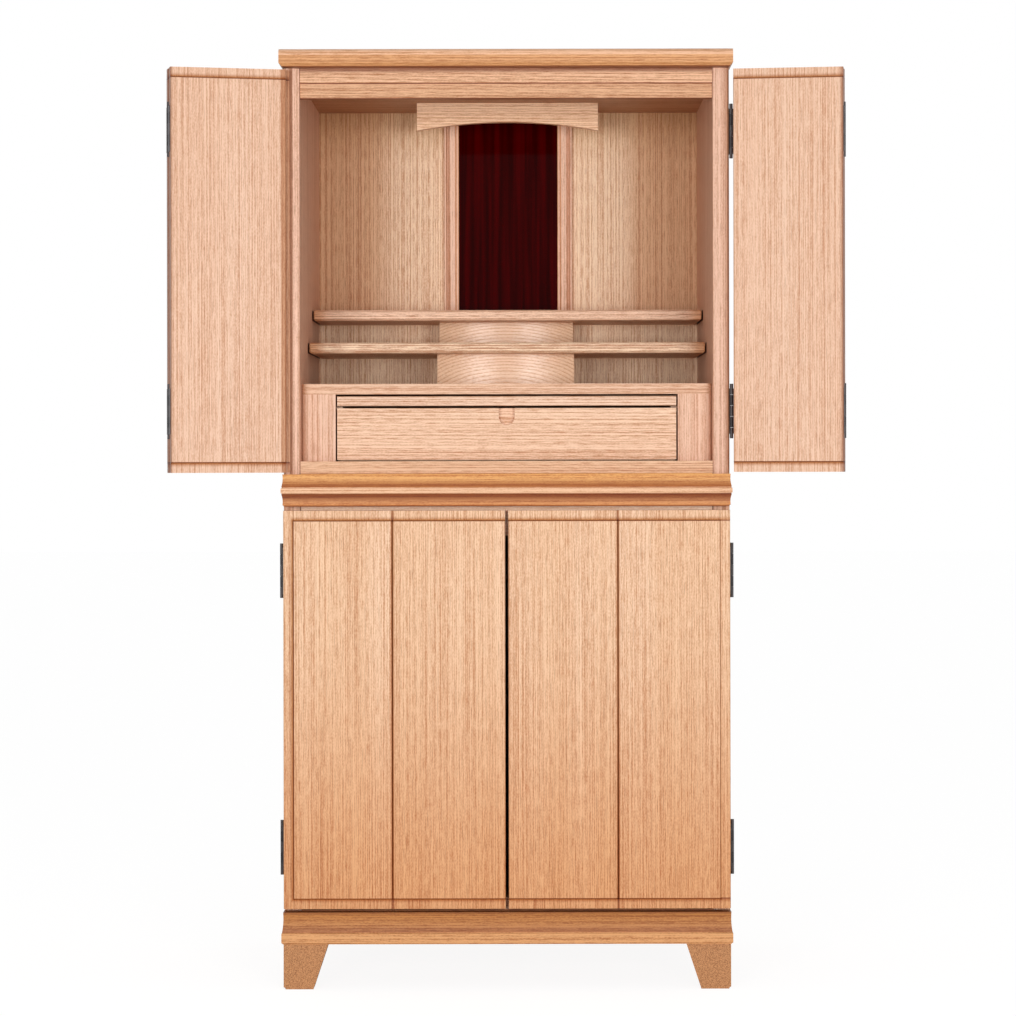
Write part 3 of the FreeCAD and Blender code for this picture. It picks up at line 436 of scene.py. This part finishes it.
# Shrine panel: a board of dark wine-red lacquer between two strips with beads.
# Painted shade: two dark lines in the grooves of each bead.
dress(ash("strip_ash", "z", "x", (250, 208, 180), (208, 156, 122), shift=9.4, long=1.2,
          stains_and_shade=[(from_middle, 0.0819, 0.0826, 0.0828, 0.0836, (206, 170, 144)),
                  (from_middle, 0.0850, 0.0858, 0.0860, 0.0868, (200, 164, 140)),
                  (from_middle, 0.0718, 0.0726, 0.0738, 0.0748, (226, 188, 150)),
                  below(from_middle, 0.0697, 0.0706, (222, 182, 140))]),
      "shrine_strips")
lacquer, shader, wire = plain_material("wine_lacquer")
spot = places(wire)[0]
runs = wire.node("Mapping", {"vector_type": "POINT"}, {"Vector": spot, "Scale": (150, 60, 4)})
streak = wire.node("TexNoise", {}, {"Vector": runs, "Scale": 1.0, "Detail": 2.0})
colour = streak.step(0.32, 0.72).tint(shade(44, 0, 0), shade(70, 0, 1))
colour.into(shader, "Base Color")
gloss = streak * 0.03 + 0.03
gloss.into(shader, "Roughness")
shader.inputs["Specular IOR Level"].default_value = 0.03
dress(lacquer, "lacquer_panel")

# Valance: a thin board under the ceiling, its lower edge one shallow arch.
dress(ash("valance_ash", "x", "z", (255, 216, 178), (210, 154, 112), pitch=0.0044, slope=0.02,
          rings=0.35, specks=1.4, grit=0.5, long=0.5, fine=0.8, shift=10.1), "valance")

# Folding doors: two leaves a side, folded back, each a proud field with a rim above and below.
# Their coves and their edges at hinge and fold are darkened as painted shade.
for word, leaf_pale, fold, near, shift in (("left", (238, 199, 171), 0.4290, 0.2862, 0.15),
                                           ("right", (234, 194, 165), 0.4314, 0.2890, 1.45)):
    dress(ash("leaf_ash_" + word, "z", "x", leaf_pale, (200, 144, 108), warm=(233, 188, 157),
              fine=0.85, long=0.4, specks=1.1, shift=shift,
              stains_and_shade=cove_shade(within(z=(0.6727, 1.1607)), (208, 170, 126)) + [
                  above(from_middle, fold - 0.0090, fold - 0.0020, (184, 154, 136)),
                  below(from_middle, near, near + 0.0020, (214, 186, 158))]),
          "outer_leaf_" + word, "inner_leaf_" + word)

# Hinges: blackened steel butt hinges of five knuckles, the round of every other one lighter as a
# painted highlight. Two hinges stand one above the other, and levels are their barrels' lower
# ends.
TWO_KNUCKLES = 0.02812  # from one knuckle to the next but one
for name, nodes, levels in (
        ("lower_hinge_steel", ("lower_hinges_left", "lower_hinges_right",
                               "lower_hinges_cabinet"), (0.144, 0.4985)),
        ("upper_hinge_steel", ("upper_hinges_left", "upper_hinges_right"), (0.7022, 1.0612))):
    metal, shader, wire = plain_material(name)
    spot, measures = places(wire)
    height = upward(*measures)
    upper = height.math("GREATER_THAN", height, sum(levels) / 2)
    knuckle = (height - levels[0] - upper * (levels[1] - levels[0])) / TWO_KNUCKLES
    knuckle = knuckle.math("FRACT", knuckle)
    # Painted highlight on the round of every other knuckle.
    painted_highlight = knuckle.step(0.50, 0.485) * knuckle.step(0.0, 0.015)
    painted_highlight = painted_highlight * from_middle(*measures).step(0.2868, 0.2874)
    rub = wire.node("TexNoise", {}, {"Vector": spot, "Scale": 300.0, "Detail": 3.0})
    dull = rub.step(0.35, 0.75).tint(shade(44, 40, 42), shade(64, 60, 62))
    colour = (painted_highlight * 0.45).tint(dull, shade(96, 90, 91))
    colour.into(shader, "Base Color")
    gloss = 0.34 + 0.2 * rub
    gloss.into(shader, "Roughness")
    shader.inputs["Metallic"].default_value = 0.4
    dress(metal, *nodes)


# Screws: three steel ones in each plate that lies on the cabinet's sides or on a lower door's
# edge, with a round dimple in their heads.
SCREW_RISES = (0.008, 0.029, 0.050)  # each screw above its plate's lower end
HEAD_RADIUS = 0.0023
HEAD_HEIGHT = 0.0010
HEAD_STEPS = ((0.0003, 0.00025), (0.0006, 0.00005), (0.0004, -0.00035))  # in, and up or down
LOWER_PLATES = (0.150, 0.5045)       # lower ends of the plates at a lower door
UPPER_PLATES = (0.7082, 1.0672)      # and at a folding door
SIDE_PLATE = (0.2868, -0.1724)       # a side board's plate: outer face and middle
DOOR_PLATE = (0.2863, -0.1894)       # a lower door's plate


def screw_heads(name, body, plate, sides, levels):
    """The heads of three screws in each plate of a body, on one or both sides."""
    heads = []
    for side in sides:
        for place in [level + rise for level in levels for rise in SCREW_RISES]:
            bpy.ops.object.select_all(action="DESELECT")
            bpy.ops.mesh.primitive_cylinder_add(
                vertices=16, radius=HEAD_RADIUS, depth=HEAD_HEIGHT,
                location=(side * plate[0], plate[1], place),
                rotation=(0, side * math.radians(90), 0))
            head = bpy.context.object
            for part in (head.data.vertices, head.data.edges, head.data.polygons):
                for item in part:
                    item.select = False
            for face in head.data.polygons:
                if face.normal.z > 0.9:
                    face.select = True
                    for number in face.vertices:
                        head.data.vertices[number].select = True
            bpy.ops.object.mode_set(mode="EDIT")
            bpy.ops.mesh.select_mode(type="FACE")
            for thickness, depth in HEAD_STEPS:
                bpy.ops.mesh.inset(thickness=thickness, depth=depth)
            bpy.ops.object.mode_set(mode="OBJECT")
            heads.append(head)
    bpy.ops.object.select_all(action="DESELECT")
    for head in heads:
        head.select_set(True)
    bpy.context.view_layer.objects.active = heads[0]
    bpy.ops.object.join()
    screws = bpy.context.object
    screws.name = name
    bpy.ops.object.transform_apply(location=True, rotation=True, scale=True)
    screws.data.materials.append(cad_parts["lower_hinges_left"].data.materials[0])
    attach(screws, body)


screw_heads("cabinet_screws", "cabinet", SIDE_PLATE, (-1, 1), LOWER_PLATES + UPPER_PLATES)
screw_heads("left_door_screws", "left_door", DOOR_PLATE, (-1,), LOWER_PLATES)
screw_heads("right_door_screws", "right_door", DOOR_PLATE, (1,), LOWER_PLATES)

# Room: a white floor that keeps a soft shadow, two broad soft lights in front and a white
# surround, which is brighter where it is seen, reflected or looked through.
bpy.ops.object.select_all(action="DESELECT")
bpy.ops.mesh.primitive_plane_add(size=1, location=(0, 0, 0))
floor = bpy.context.object
floor.name = "studio_floor"
bpy.ops.transform.resize(value=(40, 40, 1))
bpy.ops.object.transform_apply(location=True, rotation=True, scale=True)
paper, shader, wire = plain_material("white_paper")
shader.inputs["Base Color"].default_value = (0.9, 0.9, 0.9, 1)
shader.inputs["Roughness"].default_value = 0.9
glow = wire.node("Emission", {}, {"Color": (1, 1, 1, 1), "Strength": 1.18})
seen = wire.node("LightPath", output="Is Camera Ray") * 0.76
matt = Wire(wire.tree, shader.outputs["BSDF"])
cover = wire.node("MixShader", {}, {0: seen, 1: matt, 2: glow})
cover.into(wire.tree.nodes["Material Output"], "Surface")
floor.data.materials.append(paper)

world = bpy.data.worlds.new("white_surround")
world.use_nodes = True
bpy.context.scene.world = world
air = Wire(world.node_tree)
straight = air.node("LightPath", output="Is Camera Ray")
mirror = air.node("LightPath", output="Is Glossy Ray")
through = air.node("LightPath", output="Is Transmission Ray")
backdrop = world.node_tree.nodes["Background"]
backdrop.inputs["Color"].default_value = (1, 1, 1, 1)
strength = 0.38 + (straight + mirror + through).held() * 0.62
strength.into(backdrop, "Strength")


LIGHT_AIM = Vector((0, 0, 0.7))
LIGHT_SIZE = (1.25, 0.9)


def soft_light(name, place, power):
    """A broad lamp that faces the middle of the altar."""
    lamp = bpy.data.lights.new(name, "AREA")
    lamp.shape = "RECTANGLE"
    lamp.size, lamp.size_y = LIGHT_SIZE
    lamp.energy = power
    thing = bpy.data.objects.new(name, lamp)
    thing.location = place
    thing.rotation_euler = (LIGHT_AIM - Vector(place)).to_track_quat("-Z", "Y").to_euler()
    bpy.context.scene.collection.objects.link(thing)


soft_light("left_soft_light", (-1.2, -4.4, 0.8), 60)
soft_light("right_soft_light", (1.2, -4.4, 0.8), 59)

# Camera: level, at the height of the photograph's horizon. Its shifts and its small roll set
# the altar where the photograph has it.
sight = bpy.data.cameras.new("front_camera")
sight.sensor_width = 36
sight.lens = 116.8
sight.shift_x = -0.0215
sight.shift_y = -0.0472
sight.clip_end = 100
viewer = bpy.data.objects.new("front_camera", sight)
viewer.location = (0.0298, -4.407633, 0.6748)
viewer.rotation_euler = (math.radians(90), 0.0018, 0)
bpy.context.scene.collection.objects.link(viewer)
bpy.context.scene.camera = viewer
bpy.context.scene.view_settings.view_transform = "Standard"
